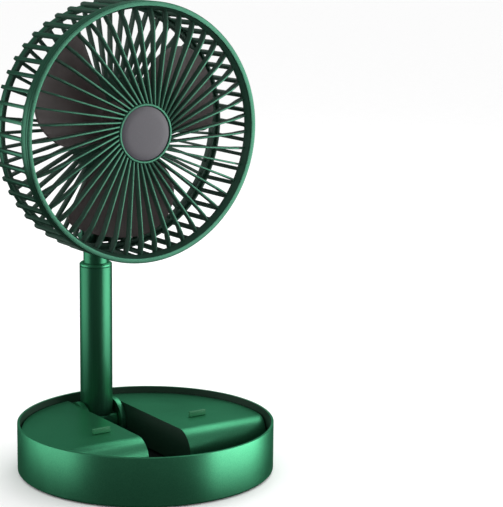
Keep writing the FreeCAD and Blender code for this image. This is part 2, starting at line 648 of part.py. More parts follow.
# Front grille: straight vanes that miss the axis, so the whole grille looks swirled.
front = doc.addObject("PartDesign::Body", "front_grille")
spin(front, [
    ("hub_inner", "-grille_depth"), ("hub_outer", "-grille_depth"), ("hub_outer", "-0.4"),
    ("hub_outer - 0.4", "0"), ("hub_inner + 0.3", "0"), ("hub_inner", "-0.3"),
])
vane = plate(front, [
    ("18.6", "-grille_depth + 0.2"), ("18.6", "-0.5"), ("76", "-0.5"), ("82", "-1.3"),
    ("87", "-3.2"), ("90.6", "-6"), ("90.6", "-band_depth + 0.3"), ("84", "-8.6"),
    ("77", "-grille_depth"),
], "vane_thick", offset="vane_offset")
ringed(front, [vane], "vane_count")
spin(front, [
    ("ring_inner - 1.6", "-7.5"), ("ring_inner - 0.05", "-7.5"), ("ring_inner - 0.05", "-ring_depth"),
    ("head_radius", "-ring_depth"), ("head_radius", "-1"), ("head_radius - 1", "0"),
    ("ring_inner + 0.4", "0"), ("ring_inner", "-0.6"), ("ring_inner - 1.6", "-5.5"),
])
node("front_grille", in_head(front, turn="vane_turn"))
front_cap = doc.addObject("PartDesign::Body", "front_cap")
spin(front_cap, [
    ("0", "-2.2"), ("hub_inner - 0.1", "-2.2"), ("hub_inner - 0.1", "-0.9"),
    ("hub_inner - 0.6", "-0.4"), ("0", "-0.3"),
])
node("front_cap", in_head(front_cap))

# Side cage: a band, ribs that run back from it and turn in behind, and a ring that ties them.
side = doc.addObject("PartDesign::Body", "side_cage")
spin(side, [
    ("ring_inner", "-band_depth"), ("head_radius - 0.3", "-band_depth"),
    ("head_radius", "-band_depth + 0.3"), ("head_radius", "-ring_depth - 0.35"),
    ("head_radius - 0.3", "-ring_depth - 0.05"), ("ring_inner", "-ring_depth - 0.05"),
])
rib = plate(side, [
    ("rib_inner", "-band_depth + 1"), ("head_radius", "-band_depth + 1"),
    ("head_radius", "-cage_depth + 2.6"), ("head_radius - 0.7", "-cage_depth + 0.9"),
    ("head_radius - 2.2", "-cage_depth"), ("back_ring - 3", "-cage_depth"),
    ("back_ring - 3", "-back_ring_end + 2.9"), ("rib_inner", "-back_ring_end + 2.9"),
], "rib_width")
ringed(side, [rib], "rib_count")
spin(side, [
    ("back_ring - 3", "-back_ring_end"), ("back_ring - 1", "-back_ring_end"),
    ("back_ring", "-back_ring_end + 1"), ("back_ring", "-back_ring_start"),
    ("back_ring - 1.6", "-back_ring_start"), ("back_ring - 1.6", "-back_ring_end + 3"),
    ("back_ring - 3", "-back_ring_end + 3"),
])
node("side_cage", in_head(side))

# Rear grille: spokes between a rim, which rests on the side cage's ring, and the motor plate.
back = doc.addObject("PartDesign::Body", "rear_grille_turned")
spin(back, [
    ("back_ring - 4.6", "-cage_depth"), ("back_ring - 3.15", "-cage_depth"),
    ("back_ring - 3.15", "-back_ring_end + 3.05"), ("back_ring - 1.8", "-back_ring_end + 3.05"),
    ("back_ring - 1.8", "-back_ring_end + 4.5"), ("back_ring - 4.6", "-back_ring_end + 4.5"),
])
spoke = plate(back, [
    ("plate_radius - 2", "-cage_depth"), ("back_ring - 4", "-cage_depth"),
    ("back_ring - 4", "-back_ring_end + 2"), ("plate_radius - 2", "-plate_front"),
], "spoke_thick")
ringed(back, [spoke], "rib_count")
spin(back, [
    ("6.2", "-cage_depth + 2"), ("back_cap_radius - 0.2", "-cage_depth + 2"),
    ("back_cap_radius + 0.2", "-cage_depth - 0.2"), ("plate_radius", "-cage_depth - 0.2"),
    ("plate_radius", "-plate_front"), ("6.2", "-plate_front"),
])
in_head(back)
screw_lands = [
    rod(f"screw_land_{i}", "y", "2.6", "plate_front", "cage_depth", spot)
    for i, spot in enumerate(bracket_holes)
]
land_bores = [
    rod(f"land_bore_{i}", "y", "1.25", "plate_front - 1", "cage_depth + 1", spot)
    for i, spot in enumerate(bracket_holes)
]
motor_holes = [
    (f"{11 * math.cos(math.radians(a)):.4f}", f"head_height + {11 * math.sin(math.radians(a)):.4f}")
    for a in (90, 210, 330)
]
motor_bores = [
    rod(f"motor_bore_{i}", "y", "1.3", "plate_front - 1", "cage_depth + 1", spot)
    for i, spot in enumerate(motor_holes)
]
node("rear_grille", less("rear_grille", joined("rear_grille_all", back, *screw_lands),
                         *land_bores, *motor_bores))

back_cap = doc.addObject("PartDesign::Body", "rear_cap")
spin(back_cap, [
    ("0", "-cage_depth + 0.6"), ("0", "-back_cap_end"), ("back_cap_radius - 3", "-back_cap_end"),
    ("back_cap_radius - 0.6", "-back_cap_end + 1"), ("back_cap_radius - 0.6", "-cage_depth + 1.9"),
    ("back_cap_radius - 2", "-cage_depth + 1.9"), ("back_cap_radius - 2", "-cage_depth + 0.6"),
])
node("rear_cap", in_head(back_cap))


# --- motor and rotor ------------------------------------------------------------------------------

motor = doc.addObject("PartDesign::Body", "motor_housing_turned")
spin(motor, [
    ("4.05", "-motor_front"), ("4.9", "-motor_front"), ("4.9", "-motor_back + 3"),
    ("17.5", "-motor_back + 3"), ("17.5", "-plate_front + 0.05"), ("4.05", "-plate_front + 0.05"),
])
in_head(motor)
node("motor_housing", less("motor_housing", motor, *[
    rod(f"housing_bore_{i}", "y", "1.0", "motor_back - 2", "plate_front + 1", spot)
    for i, spot in enumerate(motor_holes)
]))
node("motor_screws", group("motor_screws", *[
    joined(f"motor_screw_{i}",
           rod(f"motor_stem_{i}", "y", "0.95", "motor_back + 0.5", "cage_depth - 1.9", spot),
           rod(f"motor_head_{i}", "y", "2", "cage_depth - 1.95", "cage_depth - 0.7", spot))
    for i, spot in enumerate(motor_holes)
]))
stator = doc.addObject("PartDesign::Body", "motor_stator")
spin(stator, [
    ("4.95", "-motor_front - 4"), ("8", "-motor_front - 4"), ("8", "-motor_back + 3.3"),
    ("4.95", "-motor_back + 3.3"),
])
tooth = plate(stator, [
    ("7.5", "-motor_front - 6"), ("14", "-motor_front - 6"), ("stator_radius", "-motor_front - 7"),
    ("stator_radius", "-motor_back + 6.5"), ("14", "-motor_back + 5.5"), ("7.5", "-motor_back + 5.5"),
], "4.4")
ringed(stator, [tooth], "9")
node("motor_stator", in_head(stator))
bearings = []
for word, at in (("front", "motor_front + 0.5"), ("back", "plate_front - 5")):
    race = less(
        f"{word}_bearing",
        rod(f"{word}_bearing_outer", "y", "4.0", at, f"{at} + 4", ("0", "head_height")),
        rod(f"{word}_bearing_inner", "y", "shaft_radius + 0.03", f"{at} - 1", f"{at} + 5",
            ("0", "head_height")))
    bearings.append(race)
node("motor_bearings", group("motor_bearings", *bearings))

node("motor_shaft", rod("motor_shaft", "y", "shaft_radius", "rotor_front - 3", "plate_front + 1",
                        ("0", "head_height")))
node("rotor_nut", less("rotor_nut",
                       joined("rotor_nut_body",
                              rod("nut_flange", "y", "4.6", "rotor_front - 1.05",
                                  "rotor_front - 0.05", ("0", "head_height")),
                              rod("nut_crown", "y", "3.4", "rotor_front - 4", "rotor_front - 1",
                                  ("0", "head_height"))),
                       rod("nut_core", "y", "shaft_radius + 0.02", "rotor_front - 3.1",
                           "rotor_front", ("0", "head_height"))))
magnets = doc.addObject("PartDesign::Body", "rotor_magnets")
spin(magnets, [
    ("stator_radius + 0.8", "-motor_front - 5"), ("rotor_hub - rotor_hub_wall - 0.02",
                                                  "-motor_front - 5"),
    ("rotor_hub - rotor_hub_wall - 0.02", "-rotor_back + 1"),
    ("stator_radius + 0.8", "-rotor_back + 1"),
])
node("rotor_magnets", in_head(magnets))

hub = doc.addObject("PartDesign::Body", "rotor_hub_cup")
spin(hub, [
    ("shaft_radius + 0.02", "-rotor_front"), ("rotor_hub - 2", "-rotor_front"),
    ("rotor_hub", "-rotor_front - 2"), ("rotor_hub", "-rotor_back"),
    ("rotor_hub - rotor_hub_wall", "-rotor_back"), ("rotor_hub - rotor_hub_wall", "-rotor_front - 3"),
    ("3.6", "-rotor_front - 3"), ("3.6", "-motor_front + 0.6"),
    ("shaft_radius + 0.02", "-motor_front + 0.6"),
])
doc.recompute()


def blade_shape(middle):
    """One blade: a twisted sheet, deeper at one edge, trimmed to an outline with round corners."""
    size = {word: number(word) for word in DIMS}
    half = size["blade_span"] / 2
    rise = size["blade_rise"]
    pitch = rise * 360 / size["blade_span"]
    root = size["rotor_hub"] - 1
    tip = size["tip_radius"]
    deep = size["rotor_back"] - 1.5
    inner = Part.makeHelix(pitch, rise, root)
    outer = Part.makeHelix(pitch, rise, tip + 3)
    sheet_face = Part.makeRuledSurface(inner.Edges[0], outer.Edges[0])
    slab = sheet_face.extrude(Vector(0, 0, -size["blade_thick"]))
    slab.rotate(Vector(), Vector(0, 0, 1), middle - half)
    slab.translate(Vector(0, 0, -deep + size["blade_thick"]))

    def spot(radius, angle):
        return Vector(radius * math.cos(math.radians(angle)),
                      radius * math.sin(math.radians(angle)), -size["rotor_back"] - 5)

    first = middle - half + 1
    final = middle + half - 1
    path = Part.Wire([
        Part.makeLine(spot(root - 1, first), spot(tip, first)),
        Part.Arc(spot(tip, first), spot(tip, middle), spot(tip, final)).toShape(),
        Part.makeLine(spot(tip, final), spot(root - 1, final)),
        Part.makeLine(spot(root - 1, final), spot(root - 1, first)),
    ])
    trim = Part.Face(path).extrude(Vector(0, 0, size["rotor_back"] + 5))
    for angle, radius in ((first, size["blade_corner"]), (final, size["blade_sweep"])):
        corner = spot(tip, angle)
        upright = [
            edge for edge in trim.Edges
            if len(edge.Vertexes) == 2
            and all(math.dist(v.Point[:2], corner[:2]) < 0.01 for v in edge.Vertexes)
        ]
        trim = trim.makeFillet(radius, upright)
    return slab.common(trim)


rotor = doc.addObject("Part::Feature", "rotor")
blades = [blade_shape(number("blade_turn") + 120 * i) for i in range(3)]
shape = hub.Shape.copy()
for blade in blades:
    shape = shape.fuse(blade)
core = Part.makeCylinder(number("rotor_hub - rotor_hub_wall"), 100,
                         Vector(0, 0, -103 - number("rotor_front")))
shape = shape.cut(core.cut(hub.Shape))
rotor.Shape = shape
rotor.Placement = FreeCAD.Placement(Vector(), Rotation(Vector(1, 0, 0), 90))
drive(rotor, "Placement.Base.z", "head_height")
node("rotor", rotor)


# --- checks and export ----------------------------------------------------------------------------

doc.recompute()
os.makedirs("parts", exist_ok=True)
for thing in doc.Objects:
    if "Invalid" in thing.State or "Error" in thing.State:
        raise SystemExit(f"{thing.Name}: {thing.State}")
for thing in nodes:
    form = thing.Shape
    if form.isNull() or not form.isValid() or not form.Solids:
        raise SystemExit(f"{thing.Label}: not a sound solid")
    form.exportStep(f"parts/{thing.Label}.step")
    box = form.BoundBox
    print(f"{thing.Label:24s} solids {len(form.Solids):3d}  volume {form.Volume / 1000:8.2f} cm3"
          f"  x {box.XMin:7.2f} {box.XMax:7.2f}  y {box.YMin:7.2f} {box.YMax:7.2f}"
          f"  z {box.ZMin:7.2f} {box.ZMax:7.2f}")
print(len(nodes), "nodes")
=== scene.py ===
import math

import bmesh
import bpy
from mathutils import Matrix, Vector


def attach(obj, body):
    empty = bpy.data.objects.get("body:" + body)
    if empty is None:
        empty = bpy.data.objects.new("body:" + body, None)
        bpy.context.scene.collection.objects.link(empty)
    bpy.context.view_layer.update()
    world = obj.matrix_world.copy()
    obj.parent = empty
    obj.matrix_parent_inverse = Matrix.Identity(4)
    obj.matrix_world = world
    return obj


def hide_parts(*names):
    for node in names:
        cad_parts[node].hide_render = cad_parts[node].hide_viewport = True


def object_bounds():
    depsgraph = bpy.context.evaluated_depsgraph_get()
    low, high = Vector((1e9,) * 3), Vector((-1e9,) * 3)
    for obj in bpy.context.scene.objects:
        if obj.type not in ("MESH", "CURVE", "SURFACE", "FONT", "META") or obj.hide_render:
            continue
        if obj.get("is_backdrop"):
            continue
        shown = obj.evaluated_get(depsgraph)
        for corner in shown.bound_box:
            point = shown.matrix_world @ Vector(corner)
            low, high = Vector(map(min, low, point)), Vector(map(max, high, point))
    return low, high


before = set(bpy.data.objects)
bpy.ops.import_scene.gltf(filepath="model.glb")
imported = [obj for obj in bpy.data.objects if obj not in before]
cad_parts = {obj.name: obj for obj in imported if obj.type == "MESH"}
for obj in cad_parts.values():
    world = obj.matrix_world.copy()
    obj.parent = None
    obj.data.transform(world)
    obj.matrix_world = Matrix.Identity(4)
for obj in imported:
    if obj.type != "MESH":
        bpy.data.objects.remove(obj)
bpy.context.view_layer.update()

# ---- Studio ---------------------------------------------------------------------------------------
# A pale table in a product studio: a long low soft panel on each side of the fan, a stronger one on
# the right, and a soft panel overhead. The camera stands to the left of the fan and a little above it.

scene = bpy.context.scene
scene.view_settings.view_transform = "Standard"

camera_data = bpy.data.cameras.new("camera")
camera_data.sensor_width = 36
camera_data.lens = 125.32
camera_data.clip_start = 0.05
camera = bpy.data.objects.new("camera", camera_data)
camera.location = (-0.64096, -1.09258, 0.40752)
camera.rotation_euler = [math.radians(a) for a in (79.073, -0.664, -33.754)]
scene.collection.objects.link(camera)
scene.camera = camera


def linear(hex_colour):
    """An sRGB colour such as 2A5842 as the linear colour that shaders take."""
    parts = [int(hex_colour[i:i + 2], 16) / 255 for i in (0, 2, 4)]
    return (*[c / 12.92 if c <= 0.04045 else ((c + 0.055) / 1.055) ** 2.4 for c in parts], 1)


def add(tree, kind, inputs=None, **settings):
    """Adds a node. Inputs are values, or sockets of other nodes to link from."""
    made = tree.nodes.new("ShaderNode" + kind)
    for word, value in settings.items():
        setattr(made, word, value)
    for key, value in (inputs or {}).items():
        socket = made.inputs[key]
        if isinstance(value, bpy.types.NodeSocket):
            tree.links.new(value, socket)
        else:
            socket.default_value = value
    return made


def material(name):
    """A new material with an empty tree and its output."""
    made = bpy.data.materials.new(name)
    made.use_nodes = True
    made.node_tree.nodes.clear()
    return made, made.node_tree


def finish(tree, shader):
    tree.links.new(shader.outputs[0], add(tree, "OutputMaterial").inputs["Surface"])


def panel(name, place, look_at, size, power, colour="FFFFFF"):
    """A rectangular soft light that faces a point."""
    data = bpy.data.lights.new(name, "AREA")
    data.shape = "RECTANGLE"
    data.size, data.size_y = size
    data.energy = power
    data.color = linear(colour)[:3]
    lamp = bpy.data.objects.new(name, data)
    lamp.location = place
    lamp.rotation_euler = (Vector(look_at) - Vector(place)).to_track_quat("-Z", "Y").to_euler()
    scene.collection.objects.link(lamp)
    return lamp


def round_camera(turn, out, height):
    """A point at an angle from the camera's side of the fan, seen from above, clockwise positive."""
    a = math.radians(-30.4 + turn)
    return (out * math.sin(a), -out * math.cos(a), height)


middle = (0, 0, 0.17)
panel("right_panel", round_camera(87, 1.5, 0.1), middle, (1.7, 0.9), 27)
panel("left_panel", round_camera(-90, 1.7, 0.1), middle, (2.1, 0.9), 14)
panel("back_panel", (0.68, 0.39, 1.2), middle, (0.8, 0.8), 5)

floor_paint, tree = material("studio_floor_paint")
grain = add(tree, "TexNoise", {"Vector": add(tree, "TexCoord").outputs["Object"], "Scale": 40.0})
shade = add(tree, "MapRange", {"Value": grain.outputs[0], "To Min": 0.93, "To Max": 0.96})
finish(tree, add(tree, "BsdfPrincipled", {
    "Base Color": add(tree, "CombineColor", {
        "Red": shade.outputs[0], "Green": shade.outputs[0], "Blue": shade.outputs[0],
    }).outputs[0], "Roughness": 0.9, "Specular IOR Level": 0.1}))
floor_mesh = bmesh.new()
bmesh.ops.create_grid(floor_mesh, x_segments=1, y_segments=1, size=30)
floor_data = bpy.data.meshes.new("floor")
floor_mesh.to_mesh(floor_data)
floor_mesh.free()
floor = bpy.data.objects.new("floor", floor_data)
floor.data.materials.append(floor_paint)
floor.visible_glossy = False
scene.collection.objects.link(floor)
floor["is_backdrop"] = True

# The room: pale all round, but a glossy surface sees it dim, with a brighter ceiling.
world = bpy.data.worlds.new("room")
scene.world = world
world.use_nodes = True
tree = world.node_tree
tree.nodes.clear()
up = add(tree, "SeparateXYZ", {"Vector": add(tree, "TexCoord").outputs["Generated"]})
glow = add(tree, "MapRange", {"Value": up.outputs["Z"], "From Min": -0.1, "From Max": 0.6,
                              "To Min": 0.07, "To Max": 0.4})
dim = add(tree, "Background", {"Color": (1, 1, 1, 1), "Strength": glow.outputs[0]})
pale = add(tree, "Background", {"Color": (1, 1, 1, 1), "Strength": 1.05})
rays = add(tree, "LightPath")
choice = add(tree, "MixShader", {0: rays.outputs["Is Glossy Ray"], 1: pale.outputs[0],
                                 2: dim.outputs[0]})
tree.links.new(choice.outputs[0], add(tree, "OutputWorld").inputs["Surface"])

# ---- Base tub -------------------------------------------------------------------------------------
# The tub is a round injection-moulded cup of ABS, sprayed outside with a metallic green lacquer. Its
# inside and the underside of its foot are given painted shade, a dark green. A flange inside its foot
# holds the cover, and its back wall has holes for the port, the button and four lamps. Sizes here and
# below are millimetres.


def turned(section, steps=128):
    """A shape turned about the Z axis from corners given as radius and height."""
    mesh = bmesh.new()
    corners = [mesh.verts.new((r, 0, z)) for r, z in section]
    pairs = list(zip(corners, corners[1:]))
    if section[0][0] > 0:
        pairs.append((corners[-1], corners[0]))
    lines = [mesh.edges.new(pair) for pair in pairs]
    bmesh.ops.spin(mesh, geom=corners + lines, cent=(0, 0, 0), axis=(0, 0, 1), dvec=(0, 0, 0),
                   angle=math.tau, steps=steps, use_merge=True)
    bmesh.ops.remove_doubles(mesh, verts=mesh.verts, dist=1e-4)
    bmesh.ops.recalc_face_normals(mesh, faces=mesh.faces)
    return mesh


def soften(mesh, width, angle=30, segments=3):
    """Rounds every edge that is sharper than an angle."""
    sharp = [e for e in mesh.edges if e.calc_face_angle(0) > math.radians(angle)]
    bmesh.ops.bevel(mesh, geom=sharp, offset=width, offset_type="OFFSET", segments=segments,
                    profile=0.5, affect="EDGES", clamp_overlap=True, material=-1)
    return mesh


def bar(radius, start, end, sides=48):
    """A round bar along the Z axis."""
    mesh = bmesh.new()
    bmesh.ops.create_cone(mesh, cap_ends=True, cap_tris=False, segments=sides, radius1=radius,
                          radius2=radius, depth=end - start,
                          matrix=Matrix.Translation((0, 0, (start + end) / 2)))
    return mesh


def slab(low, high):
    """A box between two corners."""
    mesh = bmesh.new()
    size = [b - a for a, b in zip(low, high)]
    middle_of = [(a + b) / 2 for a, b in zip(low, high)]
    bmesh.ops.create_cube(mesh, size=1, matrix=Matrix.Translation(middle_of)
                          @ Matrix.Diagonal((*size, 1)))
    return mesh


def move(mesh, x=0, y=0, z=0):
    bmesh.ops.translate(mesh, vec=(x, y, z), verts=mesh.verts)
    return mesh


def swing(mesh, degrees, axis="Z"):
    bmesh.ops.rotate(mesh, cent=(0, 0, 0), matrix=Matrix.Rotation(math.radians(degrees), 3, axis),
                     verts=mesh.verts)
    return mesh


PORT_UP = 17


def in_wall(mesh, degrees):
    """Lays a shape made along Z into the tub's wall, at the ports' height, at an angle from the back."""
    return swing(move(swing(mesh, -90, "X"), z=PORT_UP), degrees)


def together(*meshes):
    """Several meshes as one."""
    whole = bmesh.new()
    for mesh in meshes:
        data = bpy.data.meshes.new("part")
        mesh.to_mesh(data)
        mesh.free()
        whole.from_mesh(data)
        bpy.data.meshes.remove(data)
    return whole


def carve(mesh, *tools, how="DIFFERENCE"):
    """Cuts closed meshes out of a mesh, or keeps what they share with it."""
    made = []
    for each in (mesh, *tools):
        data = bpy.data.meshes.new("blank")
        each.to_mesh(data)
        each.free()
        blank = bpy.data.objects.new("blank", data)
        scene.collection.objects.link(blank)
        made.append(blank)
    for tool in made[1:]:
        step = made[0].modifiers.new("cut", "BOOLEAN")
        step.operation = how
        step.solver = "EXACT"
        step.object = tool
    result = bmesh.new()
    result.from_mesh(made[0].evaluated_get(bpy.context.evaluated_depsgraph_get()).data)
    for blank in made:
        data = blank.data
        bpy.data.objects.remove(blank)
        bpy.data.meshes.remove(data)
    bmesh.ops.remove_doubles(result, verts=result.verts, dist=1e-4)
    bmesh.ops.dissolve_limit(result, angle_limit=math.radians(0.5), verts=result.verts,
                             edges=result.edges, use_dissolve_boundaries=False)
    return result


def from_cad(node):
    """A merged copy of a CAD node in millimetres, with its flat faces made whole."""
    mesh = bmesh.new()
    mesh.from_mesh(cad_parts[node].data)
    bmesh.ops.scale(mesh, vec=(1000, 1000, 1000), verts=mesh.verts)
    bmesh.ops.remove_doubles(mesh, verts=mesh.verts, dist=1e-3)
    bmesh.ops.dissolve_limit(mesh, angle_limit=math.radians(1), verts=mesh.verts,
                             edges=mesh.edges, use_dissolve_boundaries=False)
    return mesh


def piece(name, mesh, body, finishes, stands_for=(), sharp=35):
    """Makes a finished piece of a mesh in millimetres: it rides a body and stands for CAD nodes."""
    bmesh.ops.scale(mesh, vec=(0.001, 0.001, 0.001), verts=mesh.verts)
    data = bpy.data.meshes.new(name)
    mesh.to_mesh(data)
    mesh.free()
    data.polygons.foreach_set("use_smooth", [True] * len(data.polygons))
    data.set_sharp_from_angle(angle=math.radians(sharp))
    for each in finishes:
        data.materials.append(each)
    thing = bpy.data.objects.new(name, data)
    scene.collection.objects.link(thing)
    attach(thing, body)
    if stands_for:
        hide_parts(*stands_for)
    return thing


def paint(mesh, test):
    """Gives the faces that pass a test the piece's second finish, which is painted shade."""
    for face in mesh.faces:
        if test(face):
            face.material_index = 1
    return mesh


def sprayed(name, low, high, sheen):
    """Metallic lacquer on ABS: a tinted coat over fine aluminium flake, so it shines like satin
    metal. The real flake is about 0.05 mm; it is drawn at 0.8 mm so that it still shows as a faint
    mottle, over an orange peel of 2.5 mm."""
    made, tree = material(name)
    place = add(tree, "TexCoord").outputs["Object"]
    flake = add(tree, "TexNoise", {"Vector": place, "Scale": 1250.0, "Detail": 2.0})
    cloud = add(tree, "TexNoise", {"Vector": place, "Scale": 28.0, "Detail": 2.0})
    peel = add(tree, "TexNoise", {"Vector": place, "Scale": 400.0, "Detail": 1.0})
    tint = add(tree, "ValToRGB", {"Fac": flake.outputs[0]})
    tint.color_ramp.elements[0].position = 0.3
    tint.color_ramp.elements[0].color = linear(low)
    tint.color_ramp.elements[1].position = 0.7
    tint.color_ramp.elements[1].color = linear(high)
    finish(tree, add(tree, "BsdfPrincipled", {
        "Base Color": tint.outputs[0], "Metallic": 0.97, "Specular Tint": linear(sheen),
        "Roughness": add(tree, "MapRange", {"Value": cloud.outputs[0], "From Min": 0.3,
                                            "From Max": 0.7, "To Min": 0.36,
                                            "To Max": 0.42}).outputs[0],
        "Normal": add(tree, "Bump", {"Height": peel.outputs[0], "Strength": 0.03,
                                     "Distance": 0.0004}).outputs[0]}))
    return made


def painted_shade_finish(name, low, high):
    """Painted shade for the hollows and sides behind the lacquer: a dark green with a fine grain of
    0.5 mm, nearly matt."""
    made, tree = material(name)
    place = add(tree, "TexCoord").outputs["Object"]
    grain = add(tree, "TexNoise", {"Vector": place, "Scale": 2000.0, "Detail": 2.0})
    tint = add(tree, "ValToRGB", {"Fac": grain.outputs[0]})
    tint.color_ramp.elements[0].color = linear(low)
    tint.color_ramp.elements[1].color = linear(high)
    finish(tree, add(tree, "BsdfPrincipled", {
        "Base Color": tint.outputs[0], "Roughness": 0.5, "Specular IOR Level": 0.25,
        "Normal": add(tree, "Bump", {"Height": grain.outputs[0], "Strength": 0.1,
                                     "Distance": 0.0002}).outputs[0]}))
    return made


lacquer = sprayed("green_metallic_lacquer_on_abs", "3F8A66", "4A9871", "B3E9CE")
# Painted shade: a dark green for the tub's inside and the decks' sides, where shade falls.
painted_shade_abs = painted_shade_finish("dark_green_painted_shade", "0C2419", "143624")

tub = soften(turned([(87, 3), (93, 3), (93, 0.8), (93.8, 0.8), (95, 2), (95, 37), (93, 37), (93, 5),
                     (87, 5)], 192), 0.55)
port_hole = slab((-4.9, -2, 88), (4.9, 2, 98))
bmesh.ops.bevel(port_hole, geom=[e for e in port_hole.edges if abs(e.verts[0].co.z
                                                                   - e.verts[1].co.z) > 1],
                offset=1.8, offset_type="OFFSET", segments=5, profile=0.5, affect="EDGES",
                material=-1)
tub = carve(tub, in_wall(port_hole, -35), in_wall(bar(5.7, 88, 98), -65),
            *[in_wall(move(bar(1.05, 90, 97, 24), 5 * i - 7.5), -50) for i in range(4)])
# Painted shade on the inside of the wall and under the foot.
paint(tub, lambda f: f.normal.xy.dot(f.calc_center_median().xy.normalized()) < -0.5
      or f.calc_center_median().z < 0.9)
piece("tub", tub, "base", [lacquer, painted_shade_abs], ["base_shell"])

# ---- Floor of the base ----------------------------------------------------------------------------
# A round cover of black ABS closes the tub from below. It is moulded with a fine grain, and held by
# pan-head screws of zinc-plated steel. Four soft rubber feet are glued into its recesses.

black_abs, tree = material("black_abs_moulded_grain")
place = add(tree, "TexCoord").outputs["Object"]
grain = add(tree, "TexNoise", {"Vector": place, "Scale": 1600.0, "Detail": 3.0})
tint = add(tree, "ValToRGB", {"Fac": grain.outputs[0]})
tint.color_ramp.elements[0].color = linear("060A08")
tint.color_ramp.elements[1].color = linear("0E1412")
finish(tree, add(tree, "BsdfPrincipled", {
    "Base Color": tint.outputs[0], "Roughness": 0.55, "Specular IOR Level": 0.3,
    "Normal": add(tree, "Bump", {"Height": grain.outputs[0], "Strength": 0.25,
                                 "Distance": 0.0002}).outputs[0]}))

# Zinc plate on steel: grey with a faint blue, and brushed by the barrel it was plated in, in
# patches of about 1 mm.
zinc, tree = material("zinc_plated_steel")
place = add(tree, "TexCoord").outputs["Object"]
patch = add(tree, "TexNoise", {"Vector": place, "Scale": 900.0, "Detail": 2.0})
tint = add(tree, "ValToRGB", {"Fac": patch.outputs[0]})
tint.color_ramp.elements[0].color = linear("9C9FA3")
tint.color_ramp.elements[1].color = linear("C3C6C9")
finish(tree, add(tree, "BsdfPrincipled", {
    "Base Color": tint.outputs[0], "Metallic": 1.0,
    "Roughness": add(tree, "MapRange", {"Value": patch.outputs[0], "To Min": 0.22,
                                        "To Max": 0.4}).outputs[0]}))

# Moulded rubber: black, matt, and a little dusty in patches of 5 mm.
rubber, tree = material("black_rubber_moulded")
place = add(tree, "TexCoord").outputs["Object"]
dust = add(tree, "TexNoise", {"Vector": place, "Scale": 200.0, "Detail": 4.0})
tint = add(tree, "ValToRGB", {"Fac": dust.outputs[0]})
tint.color_ramp.elements[0].color = linear("151616")
tint.color_ramp.elements[1].color = linear("242626")
finish(tree, add(tree, "BsdfPrincipled", {
    "Base Color": tint.outputs[0], "Roughness": 0.85,
    "Normal": add(tree, "Bump", {"Height": dust.outputs[0], "Strength": 0.1,
                                 "Distance": 0.0003}).outputs[0]}))


def refinish(finish_of_all, *names):
    """Gives CAD nodes that keep their shape a finish."""
    for name in names:
        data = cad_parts[name].data
        data.materials.clear()
        data.materials.append(finish_of_all)


def around(mesh, count):
    """Repeats a mesh evenly about the Z axis."""
    bmesh.ops.spin(mesh, geom=mesh.verts[:] + mesh.edges[:] + mesh.faces[:], cent=(0, 0, 0),
                   axis=(0, 0, 1), dvec=(0, 0, 0), angle=math.tau * (count - 1) / count,
                   steps=count - 1, use_duplicate=True)
    return mesh


piece("cover", soften(from_cad("bottom_cover"), 0.25, 40, 2), "base", [black_abs],
      ["bottom_cover"])
foot = soften(turned([(0, 0), (8, 0), (8, 1.38), (0, 1.38)], 48), 0.4)
piece("feet", around(swing(move(foot, 78), 45), 4), "base", [rubber], ["foot_pads"])
refinish(zinc, "bottom_screws", "hinge_ear_screws")
refinish(black_abs, "trough_floor")

# ---- Decks ----------------------------------------------------------------------------------------
# Two half-round decks are moulded in ABS like the tub, and lacquered. Their sides and undersides,
# except those that face the front, are given painted shade, so the slot is dark. Their front edges roll
# down into the well for the folded hinge, and the pole folds into the slot between them. Screws from
# below hold them.

DECK_RADIUS = 91.6
DECK_FOOT = 5.1
DECK_TOP = 32.15
DECK_FRONT = 34.7
DECK_ROLL = 16
DECK_WALL = 2
SLOT_HALF = 17.45


def deck_form(inset):
    """The right deck's solid form, shrunk by an inset: a rolled section cut to a disc."""
    mesh = bmesh.new()
    roll = DECK_ROLL - inset
    section = [(100, DECK_FOOT - inset), (-DECK_FRONT + inset, DECK_FOOT - inset)]
    for step in range(19):
        a = math.radians(5 * step)
        section.append((DECK_ROLL - DECK_FRONT - roll * math.cos(a),
                        DECK_TOP - DECK_ROLL + roll * math.sin(a)))
    section.append((100, DECK_TOP - inset))
    side = mesh.faces.new([mesh.verts.new((SLOT_HALF + inset, y, z)) for y, z in section])
    pushed = bmesh.ops.extrude_face_region(mesh, geom=[side])["geom"]
    bmesh.ops.translate(mesh, vec=(100, 0, 0),
                        verts=[v for v in pushed if isinstance(v, bmesh.types.BMVert)])
    bmesh.ops.recalc_face_normals(mesh, faces=mesh.faces)
    return carve(mesh, bar(DECK_RADIUS - inset, 4.6 - inset, 40, 192), how="INTERSECT")


def deck():
    """The right deck's shell: edges rounded outside, hollow below, gaps at the port and button."""
    shell = carve(soften(deck_form(0), 1.1, 40, 4), move(deck_form(DECK_WALL), z=-0.1),
                  in_wall(slab((-5.6, -3, 86.6), (5.6, 4, 97)), -35), in_wall(bar(7.2, 86.6, 97), -65))
    # Painted shade on the sides and the underside, except where they face the front.
    return paint(shell, lambda f: f.normal.z < 0.25 and f.normal.y > -0.5)


left = deck()
bmesh.ops.scale(left, vec=(-1, 1, 1), verts=left.verts)
bmesh.ops.reverse_faces(left, faces=left.faces)
piece("deck_left", left, "base", [lacquer, painted_shade_abs], ["left_deck"])
piece("deck_right", deck(), "base", [lacquer, painted_shade_abs], ["right_deck"])

# ---- Rest pads ------------------------------------------------------------------------------------
# A small upright tab of soft dark green elastomer stands in each deck, where the folded head comes
# down on it. They are pushed into slots from above.

